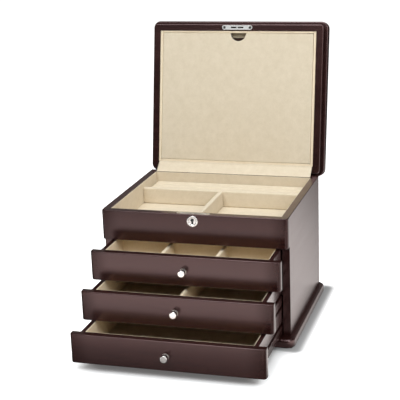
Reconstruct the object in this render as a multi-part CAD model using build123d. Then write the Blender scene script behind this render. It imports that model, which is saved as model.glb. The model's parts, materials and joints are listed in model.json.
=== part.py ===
"""Locking jewellery chest with a hinged lid, three drawers and a lined top well.

Millimetres. X runs to the right, Y to the back, Z up. The origin is on the floor,
under the middle of the carcase. The chest stands as photographed: lid open, the
three drawers pulled out in steps.
"""
import os
from math import cos, radians, sin, sqrt, tan

from build123d import *

# How far a cut runs past the face that it opens, and when two places are the same
PAST = 1.0
SAME = 0.01

# Carcase
BODY_W = 330.0
BODY_D = 278.0
BOARD = 12.7
PANEL_H = 53.4
CORNER_R = 6.0
EDGE_R = 1.6
FINE_EDGE_R = 0.8
REAR_EDGE_R = 2.0
MOST_ROUND = 0.49

# Foot
FELT_T = 1.0
FELT_INSET = 3.0
PLINTH_TOP_Z = 14.5
PLINTH_OVERHANG = 9.0
PLINTH_RAIL = 26.0
PLINTH_EDGE_R = 5.0
BOTTOM_BOARD_T = 8.0

# Drawers, top to bottom
DRAWER_NAMES = ("top", "middle", "bottom")
DRAWER_OUT = {"top": 62.5, "middle": 115.0, "bottom": 171.5}
FRONT_H = 51.2
FRONT_GAP = 1.5
BOX_SIDE_GAP = 1.8
BOX_REAR_GAP = 3.0
BOX_WALL = 7.5
BOX_TOP_DROP = 1.0
BOX_FOOT_RISE = 3.0
BOX_BOTTOM_T = 3.0
BOX_LINING_T = 1.5
BOX_LINING_DROP = 0.6
BOX_DIVIDER_T = 6.0
BOX_DIVIDER_DROP = 8.5
FRONT_ROW_DEPTH = 82.8
GROOVE_DEPTH = 4.0
GROOVE_H = 8.0
GROOVE_BELOW_MIDDLE = 4.0
RUNNER_PLAY = 0.2
RUNNER_SIDE_PLAY = 0.6
RUNNER_END_INSET = 5.0

# Knobs
KNOB_HEAD_R = 6.1
KNOB_HEAD_LEN = 8.0
KNOB_NECK_R = 3.4
KNOB_NECK_LEN = 4.0
KNOB_BASE_R = 5.9
KNOB_BASE_LEN = 1.5
KNOB_EDGE_R = 1.2
KNOB_DISH_R = 3.3
KNOB_DISH_DEPTH = 0.5
STUD_R = 1.9
STUD_LEN = 9.0
STUD_PLAY = 0.1
STUD_TIP_GAP = 0.5

# Top well
WELL_FLOOR_T = 9.0
WELL_FLOOR_RISE = 11.4
WELL_LINING_T = 1.5
WELL_LINING_DROP = 1.0
DIVIDER_DROP = 10.5
LONG_DIVIDER_Y = 43.0
LONG_DIVIDER_T = 10.0
MID_DIVIDER_T = 8.0
DIVIDER_EDGE_R = 2.0
ROLL_COUNT = 4
ROLL_TOP_DROP = 18.0
ROLL_GAP = 0.5
ROLL_END_GAP = 0.6
ROLL_EDGE_R = 7.0

# Lock
LOCK_DROP = 10.2
LOCK_PLATE_L = 59.0
LOCK_PLATE_W = 8.8
LOCK_PLATE_T = 1.5
SLOT_INNER = 1.2
SLOT_OUTER = 12.3
SLOT_W = 2.7
CASE_WALL = 1.0
CASE_INSIDE_T = 4.0
CLAW_T = 2.0
CLAW_OUTER_R = 14.7
CLAW_INNER_R = 12.3
CLAW_HEAD_DEG = 30.0
CLAW_TAIL_DEG = -63.0
CLAW_ARM_DEG = 7.0
CLAW_HUB_R = 4.0
CLAW_HUB_LEN = 3.4
CLAW_PLAY = 0.5
KEY_WAY_W = 1.6
POST_R = 1.5
POST_PLAY = 0.05
POST_SETBACK = 3.0
ESCUTCHEON_R = 9.8
ESCUTCHEON_EDGE_R = 0.8
ESCUTCHEON_T = 1.3
ESCUTCHEON_DROP = 2.0
ESCUTCHEON_COLLAR_R = 8.6
DISH_R = 7.0
DISH_DEPTH = 0.6
DISH_SLOPE = 0.8
KEYHOLE_R = 3.1
KEYHOLE_SLOT_W = 3.1
KEYHOLE_SLOT_LEN = 7.6
KEY_GAP = 0.4
FIT_GAP = 0.1

# Hinges
LID_OPEN_ANGLE = 100.9
HINGE_X = 104.0
HINGE_SETBACK = 2.75
LEAF_T = 1.2
LEAF_H = 13.0
KNUCKLE_COUNT = 5
KNUCKLE_LEN = 7.8
KNUCKLE_GAP = 0.3
KNUCKLE_R = 2.6
PIN_R = 1.2
PIN_PLAY = 0.05
STOP_LUG_T = 6.0
STOP_LUG_REACH = 9.0
STOP_LUG_START = 1.0
STOP_LUG_CLEARANCE = 0.4
STOP_LUG_TIP_T = 1.6
STOP_LUG_FOOT_RISE = 4.0

# Lid
LID_GAP = 0.4
LID_FRAME_H = 16.0
LID_TOP_T = 24.0
LID_OVERHANG = 6.0
LID_TOP_CORNER_R = 13.0
LID_FRAME_EDGE_R = 1.8
LID_LOWER_EDGE_R = 2.0
LID_UPPER_EDGE_R = 7.0
STRIKE_T = 1.2
STRIKE_POCKET = 4.0
STRIKE_POCKET_GAP = 0.4
LID_LINING_W = 5.0
LID_LINING_FRONT_W = 4.0
LID_LINING_RECESS = 0.8
RECESS_LINING_T = 1.2
LID_PANEL_T = 4.0
LID_PANEL_GAP = 0.8
NOTCH_R = 14.6
NOTCH_X = 2.6
PIVOT_R = 1.0
PIVOT_PLAY = 0.05
PIVOT_LEN = 9.0
PIVOT_IN_LINING = 4.0
PIVOT_TIP_GAP = 0.5
STOP_BLOCK_W = 14.0
STOP_BLOCK_L = 12.0
MAGNET_R = 3.0
MAGNET_T = 3.0
CATCH_DISC_R = 3.6
CATCH_DISC_T = 0.8
RAIL_L = 260.0
RAIL_W = 8.0
RAIL_T = 4.5
RAIL_BELOW_NOTCH = 4.0
HOOK_COUNT = 8
HOOK_WIRE_R = 0.7
HOOK_REACH = 3.4
HOOK_TIP = 3.0
HOOK_ROOT = 2.0

# Screws and the fabric strip over the hinge line
HINGE_SCREW_HEAD_R = 2.3
HINGE_SCREW_R = 1.2
HINGE_SCREW_LEN = 9.0
HINGE_SCREW_INSET = 5.8
HINGE_SCREW_EDGE = 5.0
PLATE_SCREW_X = 25.0
PLATE_SCREW_HEAD_R = 2.6
PLATE_SCREW_R = 1.3
PLATE_SCREW_LEN = 12.0
SCREW_TIP_GAP = 0.5
DRIVER_SLOT_W = 0.6
DRIVER_SLOT_DEPTH = 0.4
DRIVER_SLOT_EDGE = 0.8
FLAP_T = 1.2
FLAP_END_GAP = 1.3
FLAP_TOP_INSET = 1.0
FLAP_FOOT_REACH = 0.4
SOFT_GAP = 0.4

# Sizes that follow
HALF_W = BODY_W / 2
INNER_X = HALF_W - BOARD
FRONT_Y = -BODY_D / 2
BACK_Y = BODY_D / 2
INNER_FRONT_Y = FRONT_Y + BOARD
INNER_BACK_Y = BACK_Y - BOARD
DRAWER_PITCH = FRONT_H + FRONT_GAP
PANEL_Z = PLINTH_TOP_Z + FRONT_GAP + DRAWER_PITCH * len(DRAWER_NAMES)
RIM_Z = PANEL_Z + PANEL_H
FRONT_Z = {
    name: PLINTH_TOP_Z + FRONT_GAP + DRAWER_PITCH * (len(DRAWER_NAMES) - 1 - i)
    for i, name in enumerate(DRAWER_NAMES)
}
PLINTH_W = BODY_W + 2 * PLINTH_OVERHANG
PLINTH_D = BODY_D + 2 * PLINTH_OVERHANG
WELL_BOARD_TOP_Z = PANEL_Z + WELL_FLOOR_RISE
WELL_FLOOR_Z = WELL_BOARD_TOP_Z + WELL_LINING_T
WELL_X = INNER_X - WELL_LINING_T
WELL_FRONT_Y = INNER_FRONT_Y + WELL_LINING_T
WELL_BACK_Y = INNER_BACK_Y - WELL_LINING_T
DIVIDER_TOP_Z = RIM_Z - DIVIDER_DROP
BOX_X = INNER_X - BOX_SIDE_GAP
BOX_INNER_X = BOX_X - BOX_WALL
BOX_FRONT_Y = INNER_FRONT_Y
BOX_BACK_Y = INNER_BACK_Y - BOX_REAR_GAP
BOX_INNER_BACK_Y = BOX_BACK_Y - BOX_WALL
LOCK_Y = FRONT_Y + BOARD / 2
LOCK_Z = RIM_Z - LOCK_DROP
CASE_T = CASE_INSIDE_T + 2 * CASE_WALL
CASE_HALF_W = CLAW_OUTER_R + CLAW_PLAY + CASE_WALL
CASE_TOP_Z = RIM_Z - LOCK_PLATE_T
PIN_Y = BACK_Y + HINGE_SETBACK
PIN_Z = RIM_Z
HINGE_LEN = KNUCKLE_COUNT * KNUCKLE_LEN + (KNUCKLE_COUNT - 1) * KNUCKLE_GAP
LID_Z = RIM_Z + LID_GAP
LID_TOP_Z = LID_Z + LID_FRAME_H
LID_OPENING_X = INNER_X
LINING_FACE_Z = LID_Z + LID_LINING_RECESS
PANEL_X = LID_OPENING_X - LID_LINING_W - LID_PANEL_GAP
PANEL_REAR_Y = INNER_BACK_Y - LID_LINING_W - LID_PANEL_GAP
PANEL_FRONT_Y = INNER_FRONT_Y + LID_LINING_FRONT_W + LID_PANEL_GAP
PIVOT_Y = PANEL_REAR_Y - LID_PANEL_T / 2
PIVOT_Z = LINING_FACE_Z + LID_PANEL_T / 2
PANEL_BACK_Z = LINING_FACE_Z + LID_PANEL_T
RECESS_BACK_Z = LID_TOP_Z - RECESS_LINING_T
NOTCH_BACK_Y = PANEL_FRONT_Y + NOTCH_R
FLAP_L = 2 * (INNER_X - FLAP_END_GAP)


def block(x0, x1, y0, y1, z0, z1):
    """Box between two corners."""
    centre = ((x0 + x1) / 2, (y0 + y1) / 2, (z0 + z1) / 2)
    return Pos(*centre) * Box(x1 - x0, y1 - y0, z1 - z0)


def rod(x, y, z, radius, length, axis):
    """Cylinder that starts at a point and runs along +X, +Y or +Z."""
    turn = {"x": Rot(0, 90, 0), "y": Rot(-90, 0, 0), "z": Rot(0, 0, 0)}[axis]
    body = Cylinder(radius, length, align=(Align.CENTER, Align.CENTER, Align.MIN))
    return Pos(x, y, z) * turn * body


def slab(width, depth, corner_r, z0, z1):
    """Upright slab with rounded corners in plan, centred on the origin."""
    return Pos(0, 0, z0) * extrude(RectangleRounded(width, depth, corner_r), z1 - z0)


def edges_on(shape, axis, value):
    """Edges that lie wholly in one plane across an axis."""
    pick = {"x": 0, "y": 1, "z": 2}[axis]
    found = []
    for edge in shape.edges():
        box = edge.bounding_box()
        low = (box.min.X, box.min.Y, box.min.Z)[pick]
        high = (box.max.X, box.max.Y, box.max.Z)[pick]
        if abs(low - value) < SAME and abs(high - value) < SAME:
            found.append(edge)
    return found


def upright_edges(shape, y):
    """Vertical edges at one depth."""
    found = []
    for edge in shape.edges().filter_by(Axis.Z):
        if abs(edge.center().Y - y) < SAME:
            found.append(edge)
    return found


def mitred(ring, width, depth, rail):
    """Cut a rectangular ring into four rails at 45 degree mitres."""
    far = 20.0
    x_out, y_out = width / 2, depth / 2
    x_in, y_in = x_out - rail, y_out - rail
    height = ring.bounding_box().max.Z + far
    front = [(-x_out - far, -y_out - far), (x_out + far, -y_out - far), (x_in, -y_in), (-x_in, -y_in)]
    right = [(x_out + far, -y_out - far), (x_out + far, y_out + far), (x_in, y_in), (x_in, -y_in)]
    rails = []
    for corners in (front, right):
        for flip in (1, -1):
            points = [(flip * x, flip * y) for x, y in corners]
            wedge = extrude(make_face(Polyline(*points, close=True)), height)
            rails.append(ring & wedge)
    return rails


def screw(x, y, z, direction, head_r, shank_r, length):
    """Countersunk screw, head face at the point, shank along the direction."""
    head_h = head_r - shank_r
    head = Cone(head_r, shank_r, head_h, align=(Align.CENTER, Align.CENTER, Align.MIN))
    shank = Cylinder(shank_r, length - head_h, align=(Align.CENTER, Align.CENTER, Align.MIN))
    driver = Box(2 * (head_r - DRIVER_SLOT_EDGE), DRIVER_SLOT_W, 2 * DRIVER_SLOT_DEPTH)
    body = head + Pos(0, 0, head_h) * shank - driver
    turn = {"-y": Rot(90, 0, 0), "+z": Rot(0, 0, 0), "-z": Rot(180, 0, 0)}[direction]
    return Pos(x, y, z) * turn * body


def screw_hole(x, y, z, direction, head_r, shank_r, length):
    """Countersunk hole that holds the screw with a small gap."""
    head_h = head_r - shank_r
    wide, narrow = head_r + FIT_GAP, shank_r + FIT_GAP
    head = Cone(wide, narrow, head_h, align=(Align.CENTER, Align.CENTER, Align.MIN))
    depth = length - head_h + SCREW_TIP_GAP
    shank = Cylinder(narrow, depth, align=(Align.CENTER, Align.CENTER, Align.MIN))
    turn = {"-y": Rot(90, 0, 0), "+z": Rot(0, 0, 0), "-z": Rot(180, 0, 0)}[direction]
    return Pos(x, y, z) * turn * (head + Pos(0, 0, head_h) * shank)


def opened(shape):
    """Swing a closed lid piece up about the hinge pins."""
    pins = Axis((0, PIN_Y, PIN_Z), (1, 0, 0))
    return shape.rotate(pins, -LID_OPEN_ANGLE)


def save(name, *solids):
    """Write one node."""
    shape = solids[0] if len(solids) == 1 else Compound(children=list(solids))
    export_step(shape, f"parts/{name}.step")


def base_plinth():
    corner = CORNER_R + PLINTH_OVERHANG
    outer = slab(PLINTH_W, PLINTH_D, corner, FELT_T, PLINTH_TOP_Z)
    outer = fillet(edges_on(outer, "z", PLINTH_TOP_Z), PLINTH_EDGE_R)
    x_in, y_in = PLINTH_W / 2 - PLINTH_RAIL, PLINTH_D / 2 - PLINTH_RAIL
    ring = outer - block(-x_in, x_in, -y_in, y_in, 0, PLINTH_TOP_Z + PAST)
    return mitred(ring, PLINTH_W, PLINTH_D, PLINTH_RAIL)


def base_felt():
    width, depth = PLINTH_W - 2 * FELT_INSET, PLINTH_D - 2 * FELT_INSET
    return slab(width, depth, CORNER_R + PLINTH_OVERHANG - FELT_INSET, 0, FELT_T)


def bottom_board():
    x_in, y_in = PLINTH_W / 2 - PLINTH_RAIL, PLINTH_D / 2 - PLINTH_RAIL
    return block(-x_in, x_in, -y_in, y_in, PLINTH_TOP_Z - BOTTOM_BOARD_T, PLINTH_TOP_Z)


def side_panel(side):
    board = block(INNER_X, HALF_W, INNER_FRONT_Y, BACK_Y, PLINTH_TOP_Z, RIM_Z)
    outer = INNER_X + BOARD / 2
    rear = [e for e in upright_edges(board, BACK_Y) if e.center().X > outer]
    board = fillet(rear, REAR_EDGE_R)
    top = [e for e in edges_on(board, "z", RIM_Z) if e.center().X > outer]
    board = fillet([e for e in top if e.length > BODY_D / 2], FINE_EDGE_R)
    return board if side > 0 else mirror(board, Plane.YZ)


def hinge_points():
    """Screw places of both hinges, along X."""
    offset = HINGE_LEN / 2 - HINGE_SCREW_INSET
    return [x + dx for x in (-HINGE_X, HINGE_X) for dx in (-offset, offset)]


def leaf_screw_z():
    """Distance of a leaf's screws from the pin."""
    return LEAF_H - HINGE_SCREW_EDGE


def back_panel():
    board = block(-INNER_X, INNER_X, INNER_BACK_Y, BACK_Y, PLINTH_TOP_Z, RIM_Z)
    for x in hinge_points():
        board -= hinge_hole(x, PIN_Z - leaf_screw_z())
    return board


def hinge_hole(x, z):
    return screw_hole(x, BACK_Y + LEAF_T, z, "-y", HINGE_SCREW_HEAD_R, HINGE_SCREW_R, HINGE_SCREW_LEN)


def plate_outline(half_l, width, z0, z1):
    """Obround plate across the middle of the front board."""
    return Pos(0, LOCK_Y, z0) * extrude(SlotOverall(2 * half_l, width), z1 - z0)


def front_board(z0, z1):
    """Board across the whole front, rounded at its ends and along its front edges."""
    board = block(-HALF_W, HALF_W, FRONT_Y, INNER_FRONT_Y, z0, z1)
    board = fillet(upright_edges(board, FRONT_Y), CORNER_R)
    rims = edges_on(board, "z", z0) + edges_on(board, "z", z1)
    return fillet([e for e in rims if e.bounding_box().max.Y < INNER_FRONT_Y - SAME], EDGE_R)


def front_panel():
    board = front_board(PANEL_Z, RIM_Z)
    board -= plate_outline(LOCK_PLATE_L / 2, LOCK_PLATE_W, CASE_TOP_Z, RIM_Z + PAST)
    case_x, case_y = CASE_HALF_W + FIT_GAP, CASE_T / 2 + FIT_GAP
    floor_z = LOCK_Z - CASE_HALF_W - FIT_GAP
    board -= block(-case_x, case_x, LOCK_Y - case_y, LOCK_Y + case_y, floor_z, RIM_Z)
    collar_z = LOCK_Z - ESCUTCHEON_DROP
    board -= rod(0, FRONT_Y - PAST, collar_z, ESCUTCHEON_COLLAR_R + FIT_GAP, BOARD / 2 + PAST, "y")
    for x in (-PLATE_SCREW_X, PLATE_SCREW_X):
        board -= screw_hole(x, LOCK_Y, RIM_Z, "-z", PLATE_SCREW_HEAD_R, PLATE_SCREW_R, PLATE_SCREW_LEN)
    return board


def well_floor_board():
    top = WELL_BOARD_TOP_Z
    return block(-INNER_X, INNER_X, INNER_FRONT_Y, INNER_BACK_Y, top - WELL_FLOOR_T, top)


def groove_z(name):
    """Lowest and highest level of a drawer's side groove."""
    middle = FRONT_Z[name] + FRONT_H / 2 - GROOVE_BELOW_MIDDLE
    return middle - GROOVE_H / 2, middle + GROOVE_H / 2


def drawer_runners():
    strips = []
    inner = BOX_X - GROOVE_DEPTH + RUNNER_SIDE_PLAY
    y0, y1 = INNER_FRONT_Y + RUNNER_END_INSET, INNER_BACK_Y - RUNNER_END_INSET
    for name in DRAWER_NAMES:
        low, high = groove_z(name)
        strip = block(inner, INNER_X, y0, y1, low + RUNNER_PLAY, high - RUNNER_PLAY)
        strips += [strip, mirror(strip, Plane.YZ)]
    return strips


def well_lining_walls():
    z0, z1 = WELL_BOARD_TOP_Z, RIM_Z - WELL_LINING_DROP
    right = block(WELL_X, INNER_X, INNER_FRONT_Y, INNER_BACK_Y, z0, z1)
    front = block(-WELL_X, WELL_X, INNER_FRONT_Y, WELL_FRONT_Y, z0, z1)
    back = block(-WELL_X, WELL_X, WELL_BACK_Y, INNER_BACK_Y, z0, z1)
    return [right, mirror(right, Plane.YZ), front, back]


def well_lining_floor():
    return block(-WELL_X, WELL_X, WELL_FRONT_Y, WELL_BACK_Y, WELL_BOARD_TOP_Z, WELL_FLOOR_Z)


def well_divider_long():
    back_y = LONG_DIVIDER_Y + LONG_DIVIDER_T
    bar = block(-WELL_X, WELL_X, LONG_DIVIDER_Y, back_y, WELL_FLOOR_Z, DIVIDER_TOP_Z)
    return fillet([e for e in edges_on(bar, "z", DIVIDER_TOP_Z) if e.length > WELL_X], DIVIDER_EDGE_R)


def well_divider_mid():
    half = MID_DIVIDER_T / 2
    bar = block(-half, half, WELL_FRONT_Y, LONG_DIVIDER_Y, WELL_FLOOR_Z, DIVIDER_TOP_Z)
    long_edges = [e for e in edges_on(bar, "z", DIVIDER_TOP_Z) if e.length > MID_DIVIDER_T * 2]
    return fillet(long_edges, DIVIDER_EDGE_R)


def ring_rolls():
    y0 = LONG_DIVIDER_Y + LONG_DIVIDER_T + ROLL_GAP
    pitch = (WELL_BACK_Y - y0) / ROLL_COUNT
    height = RIM_Z - ROLL_TOP_DROP - WELL_FLOOR_Z
    width = pitch - ROLL_GAP
    length = 2 * (WELL_X - ROLL_END_GAP)
    crown = min(ROLL_EDGE_R, MOST_ROUND * width)
    rolls = []
    for i in range(ROLL_COUNT):
        bar = Box(length, width, height, align=(Align.CENTER, Align.MIN, Align.MIN))
        bar = Pos(0, y0 + i * pitch, WELL_FLOOR_Z) * bar
        top = edges_on(bar, "z", WELL_FLOOR_Z + height)
        bar = fillet([e for e in top if e.length > length / 2], crown)
        rolls.append(bar)
    return rolls


def lock_top_plate():
    plate = plate_outline(LOCK_PLATE_L / 2 - FIT_GAP, LOCK_PLATE_W - 2 * FIT_GAP, CASE_TOP_Z, RIM_Z)
    for slot in plate_slots(CASE_TOP_Z - PAST, RIM_Z + PAST):
        plate -= slot
    for x in (-PLATE_SCREW_X, PLATE_SCREW_X):
        plate -= screw_hole(x, LOCK_Y, RIM_Z, "-z", PLATE_SCREW_HEAD_R, PLATE_SCREW_R, PLATE_SCREW_LEN)
    return plate


def plate_slots(z0, z1):
    """The two slots that the claw passes through."""
    half = SLOT_W / 2
    right = block(SLOT_INNER, SLOT_OUTER, LOCK_Y - half, LOCK_Y + half, z0, z1)
    return [right, mirror(right, Plane.YZ)]


def lock_plate_screws():
    return [
        screw(x, LOCK_Y, RIM_Z, "-z", PLATE_SCREW_HEAD_R, PLATE_SCREW_R, PLATE_SCREW_LEN)
        for x in (-PLATE_SCREW_X, PLATE_SCREW_X)
    ]


def lock_case():
    y0, y1 = LOCK_Y - CASE_T / 2, LOCK_Y + CASE_T / 2
    z0 = LOCK_Z - CASE_HALF_W
    case = block(-CASE_HALF_W, CASE_HALF_W, y0, y1, z0, CASE_TOP_Z)
    x_in = CASE_HALF_W - CASE_WALL
    case -= block(-x_in, x_in, y0 + CASE_WALL, y1 - CASE_WALL, z0 + CASE_WALL, CASE_TOP_Z + PAST)
    through = CASE_WALL + 2 * PAST
    case -= rod(0, y0 - PAST, LOCK_Z, KEYHOLE_R + KEY_GAP, through, "y")
    slot_half = KEYHOLE_SLOT_W / 2 + KEY_GAP
    slot_z = LOCK_Z - KEYHOLE_SLOT_LEN - KEY_GAP
    case -= block(-slot_half, slot_half, y0 - PAST, y0 - PAST + through, slot_z, LOCK_Z)
    case -= rod(0, y1 - CASE_WALL - PAST, LOCK_Z, POST_R, through, "y")
    return case


def lock_post():
    y_front = FRONT_Y + POST_SETBACK
    return rod(0, y_front, LOCK_Z, POST_R, LOCK_Y + CASE_T / 2 - y_front, "y")


def lock_claw():
    ring = Cylinder(CLAW_OUTER_R, CLAW_T) - Cylinder(CLAW_INNER_R, CLAW_T + PAST)
    reach = 2 * CLAW_OUTER_R

    def sector(start, end):
        steps = 6
        turns = [radians(start + (end - start) * i / steps) for i in range(steps + 1)]
        points = [(0, 0)] + [(reach * cos(a), reach * sin(a)) for a in turns]
        return Pos(0, 0, -CLAW_T) * extrude(make_face(Polyline(*points, close=True)), 2 * CLAW_T)

    crescent = ring & sector(CLAW_TAIL_DEG, CLAW_HEAD_DEG)
    disc = Cylinder((CLAW_OUTER_R + CLAW_INNER_R) / 2, CLAW_T)
    arm = disc & sector(CLAW_TAIL_DEG, CLAW_TAIL_DEG + CLAW_ARM_DEG)
    hub = Cylinder(CLAW_HUB_R, CLAW_HUB_LEN)
    claw = crescent + arm + hub
    claw -= Cylinder(POST_R + POST_PLAY, CLAW_HUB_LEN + PAST)
    key_way = Pos(0, CLAW_HUB_R, 0) * Box(KEY_WAY_W, CLAW_HUB_R, CLAW_HUB_LEN + PAST)
    claw -= Rot(0, 0, 90) * key_way
    return Pos(0, LOCK_Y, LOCK_Z) * Rot(90, 0, 0) * claw


def lock_escutcheon():
    z = LOCK_Z - ESCUTCHEON_DROP
    face_y = FRONT_Y - ESCUTCHEON_T
    face = rod(0, face_y, z, ESCUTCHEON_R, ESCUTCHEON_T, "y")
    face = fillet(edges_on(face, "y", face_y), ESCUTCHEON_EDGE_R)
    dish = Cone(DISH_R, DISH_R - DISH_SLOPE, DISH_DEPTH, align=(Align.CENTER, Align.CENTER, Align.MIN))
    collar_len = (BOARD - CASE_T) / 2 - FIT_GAP
    collar = rod(0, FRONT_Y, z, ESCUTCHEON_COLLAR_R, collar_len, "y")
    plate = face - Pos(0, face_y, z) * Rot(-90, 0, 0) * dish + collar
    depth = ESCUTCHEON_T + collar_len + 2 * PAST
    plate -= rod(0, face_y - PAST, LOCK_Z, KEYHOLE_R, depth, "y")
    half = KEYHOLE_SLOT_W / 2
    slot_y = face_y - PAST
    plate -= block(-half, half, slot_y, slot_y + depth, LOCK_Z - KEYHOLE_SLOT_LEN, LOCK_Z)
    return plate


def knuckles(x_mid, odd):
    """Barrel stretches of one leaf, every second one."""
    start = x_mid - HINGE_LEN / 2
    places = []
    for i in range(KNUCKLE_COUNT):
        if (i % 2 == 0) != odd:
            places.append(start + i * (KNUCKLE_LEN + KNUCKLE_GAP))
    return places


def hinge_leaf(x_mid, odd, up):
    """One closed leaf on the back face, with its knuckles."""
    sign = 1 if up else -1
    z0, z1 = sorted((PIN_Z + sign * (KNUCKLE_R + KNUCKLE_GAP), PIN_Z + sign * LEAF_H))
    half = HINGE_LEN / 2
    leaf = block(x_mid - half, x_mid + half, BACK_Y, BACK_Y + LEAF_T, z0, z1)
    for x in knuckles(x_mid, odd):
        tab_z0, tab_z1 = sorted((PIN_Z, PIN_Z + sign * LEAF_H))
        leaf += block(x, x + KNUCKLE_LEN, BACK_Y, BACK_Y + LEAF_T, tab_z0, tab_z1)
        leaf += rod(x, PIN_Y, PIN_Z, KNUCKLE_R, KNUCKLE_LEN, "x")
    leaf -= rod(x_mid - half - PAST, PIN_Y, PIN_Z, PIN_R + PIN_PLAY, HINGE_LEN + 2 * PAST, "x")
    if not up:
        leaf += stop_lug(x_mid)
    for x in hinge_points():
        if abs(x - x_mid) < half:
            leaf -= hinge_hole(x, PIN_Z + sign * leaf_screw_z())
    return leaf


def stop_lug(x_mid):
    """Lug behind the barrel that the lid's leaf lands on when the lid is open."""
    turn = radians(LID_OPEN_ANGLE)
    outer = LEAF_T - HINGE_SETBACK

    def under_leaf(t):
        y = outer * cos(turn) + t * sin(turn)
        z = -outer * sin(turn) + t * cos(turn)
        return y, z - FIT_GAP

    near, far = under_leaf(KNUCKLE_R + STOP_LUG_START), under_leaf(STOP_LUG_REACH)
    below = -KNUCKLE_R - STOP_LUG_CLEARANCE
    tip, foot = (far[0], far[1] - STOP_LUG_TIP_T), (outer, -LEAF_H + STOP_LUG_FOOT_RISE)
    points = [(outer, below), (near[0], below), near, far, tip, foot]
    face = Plane.YZ * make_face(Polyline(*points, close=True))
    return Pos(x_mid - STOP_LUG_T / 2, PIN_Y, PIN_Z) * extrude(face, STOP_LUG_T)


def hinge_pins():
    return [
        rod(x - HINGE_LEN / 2, PIN_Y, PIN_Z, PIN_R, HINGE_LEN, "x") for x in (-HINGE_X, HINGE_X)
    ]


def hinge_screws(sign):
    args = ("-y", HINGE_SCREW_HEAD_R, HINGE_SCREW_R, HINGE_SCREW_LEN)
    z = PIN_Z + sign * leaf_screw_z()
    return [screw(x, BACK_Y + LEAF_T, z, *args) for x in hinge_points()]


def lid_point(back, depth):
    """Y and Z in the open pose of a closed lid point, by its distance from the back edge."""
    turn = radians(LID_OPEN_ANGLE)
    y, z = BACK_Y - back - PIN_Y, LID_Z + depth - PIN_Z
    return PIN_Y + y * cos(turn) + z * sin(turn), PIN_Z - y * sin(turn) + z * cos(turn)


def hinge_flap():
    half = FLAP_T / 2
    top = lid_point(BOARD - FLAP_TOP_INSET, -SOFT_GAP - half)
    foot = (WELL_BACK_Y + half - FLAP_FOOT_REACH, RIM_Z - WELL_LINING_DROP + SOFT_GAP + half)
    dy, dz = top[0] - foot[0], top[1] - foot[1]
    length = sqrt(dy * dy + dz * dz)
    ny, nz = -dz / length * half, dy / length * half
    points = [
        (foot[0] + ny, foot[1] + nz),
        (top[0] + ny, top[1] + nz),
        (top[0] - ny, top[1] - nz),
        (foot[0] - ny, foot[1] - nz),
    ]
    face = Plane.YZ * make_face(Polyline(*points, close=True))
    return Pos(-FLAP_L / 2, 0, 0) * extrude(face, FLAP_L)


def lid_frame():
    outer = slab(BODY_W, BODY_D, CORNER_R, LID_Z, LID_TOP_Z)
    outer = fillet(edges_on(outer, "z", LID_Z), LID_FRAME_EDGE_R)
    z0, z1 = LID_Z - PAST, LID_TOP_Z + PAST
    ring = outer - block(-INNER_X, INNER_X, INNER_FRONT_Y, INNER_BACK_Y, z0, z1)
    ring -= plate_outline(LOCK_PLATE_L / 2, LOCK_PLATE_W, z0, LID_Z + STRIKE_T)
    pocket_z = LID_Z + STRIKE_T + STRIKE_POCKET
    half = SLOT_W / 2 + STRIKE_POCKET_GAP
    ring -= block(-SLOT_OUTER, SLOT_OUTER, LOCK_Y - half, LOCK_Y + half, LID_Z, pocket_z)
    for x in (-PLATE_SCREW_X, PLATE_SCREW_X):
        ring -= screw_hole(x, LOCK_Y, LID_Z, "+z", PLATE_SCREW_HEAD_R, PLATE_SCREW_R, PLATE_SCREW_LEN)
    for x in hinge_points():
        ring -= hinge_hole(x, PIN_Z + leaf_screw_z())
    return mitred(ring, BODY_W, BODY_D, BOARD)


def lid_top():
    width, depth = BODY_W + 2 * LID_OVERHANG, BODY_D + 2 * LID_OVERHANG
    top_z = LID_TOP_Z + LID_TOP_T
    board = slab(width, depth, LID_TOP_CORNER_R, LID_TOP_Z, top_z)
    board = fillet(edges_on(board, "z", LID_TOP_Z), LID_LOWER_EDGE_R)
    return fillet(edges_on(board, "z", top_z), LID_UPPER_EDGE_R)


def lid_lining():
    z0 = LINING_FACE_Z
    outer = block(-INNER_X, INNER_X, INNER_FRONT_Y, INNER_BACK_Y, z0, LID_TOP_Z)
    x_in = INNER_X - LID_LINING_W
    y0, y1 = INNER_FRONT_Y + LID_LINING_FRONT_W, INNER_BACK_Y - LID_LINING_W
    ring = outer - block(-x_in, x_in, y0, y1, z0 - PAST, LID_TOP_Z + PAST)
    hole = rod(x_in - PAST, PIVOT_Y, PIVOT_Z, PIVOT_R, PIVOT_IN_LINING + PAST, "x")
    return ring - hole - mirror(hole, Plane.YZ)


def lid_recess_lining():
    x_in = INNER_X - LID_LINING_W
    y0, y1 = INNER_FRONT_Y + LID_LINING_FRONT_W, INNER_BACK_Y - LID_LINING_W
    return block(-x_in, x_in, y0, y1, RECESS_BACK_Z, LID_TOP_Z)


def lid_strike_plate():
    z1 = LID_Z + STRIKE_T
    plate = plate_outline(LOCK_PLATE_L / 2 - FIT_GAP, LOCK_PLATE_W - 2 * FIT_GAP, LID_Z, z1)
    for slot in plate_slots(LID_Z - PAST, z1 + PAST):
        plate -= slot
    for x in (-PLATE_SCREW_X, PLATE_SCREW_X):
        plate -= screw_hole(x, LOCK_Y, LID_Z, "+z", PLATE_SCREW_HEAD_R, PLATE_SCREW_R, PLATE_SCREW_LEN)
    return plate


def lid_strike_screws():
    return [
        screw(x, LOCK_Y, LID_Z, "+z", PLATE_SCREW_HEAD_R, PLATE_SCREW_R, PLATE_SCREW_LEN)
        for x in (-PLATE_SCREW_X, PLATE_SCREW_X)
    ]


def catch_x():
    return PANEL_X - STOP_BLOCK_W / 2


def catch_y():
    return PANEL_FRONT_Y + STOP_BLOCK_L / 2


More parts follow.
